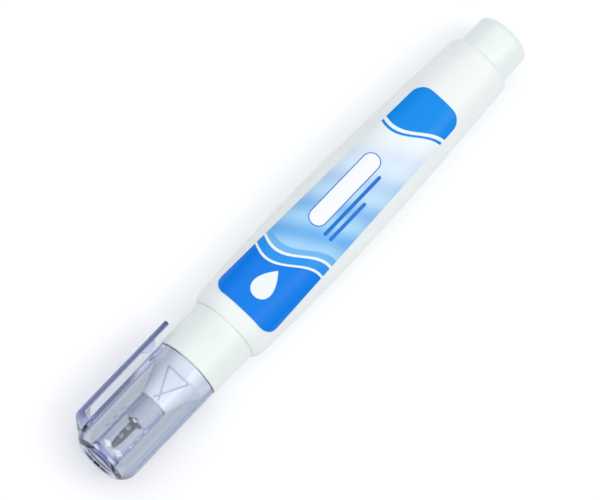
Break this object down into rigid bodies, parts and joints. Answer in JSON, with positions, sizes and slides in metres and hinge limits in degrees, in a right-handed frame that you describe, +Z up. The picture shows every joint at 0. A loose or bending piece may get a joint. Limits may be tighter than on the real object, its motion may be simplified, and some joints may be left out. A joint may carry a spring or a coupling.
{
  "type": "correction pen",
  "caption": "Squeeze correction pen with an oval white barrel, a sprung needle tip, and a clear push-on cap with a pocket clip.",
  "frame": {"origin": "bottom centre of the pen's box as it lies on its back, label up, with the cap on", "axes": "+X along the pen from the cap to the tail, +Y towards the pocket clip, +Z up out of the label"},
  "size_m": [0.136, 0.0212, 0.0172],
  "materials": {
    "barrel_plastic": "satin moulded polyethylene",
    "fitting_plastic": "smooth moulded polypropylene",
    "label_film": "printed film",
    "nickel_plate": "nickel-plated turned brass",
    "stainless_steel": "drawn or ground stainless steel",
    "clear_plastic": "clear blue-tinted polystyrene"
  },
  "bodies": {
    "pen": {"barrel": "barrel_plastic", "front_label": "label_film", "front_section": "fitting_plastic", "metal_tip": "nickel_plate", "valve_spring": "stainless_steel", "spring_retainer": "fitting_plastic", "tail_plug": "fitting_plastic"},
    "cap": {"cap_shell": "clear_plastic"},
    "clip": {"pocket_clip": "clear_plastic"},
    "needle": {"valve_needle": "stainless_steel"},
    "ball": {"mixing_ball": "stainless_steel"}
  },
  "joints": [
    {"name": "cap_pull", "type": "slide", "parent": "pen", "child": "cap", "axis": [-1, 0, 0], "range_m": [0, 0.04]},
    {"name": "clip_flex", "type": "hinge", "parent": "cap", "child": "clip", "pos_m": [-0.06575, 0.00693, 0.00851], "axis": [0, 0, 1], "range_deg": [0, 6], "stiffness_Nm_per_rad": 0.3},
    {"name": "needle_press", "type": "slide", "parent": "pen", "child": "needle", "axis": [1, 0, 0], "range_m": [0, 0.0006], "stiffness_N_per_m": 250, "springref_m": -0.001, "deforming": ["valve_spring"]},
    {"name": "ball_roll", "type": "slide", "parent": "pen", "child": "ball", "axis": [1, 0, 0], "range_m": [-0.009, 0.0548]}
  ]
}
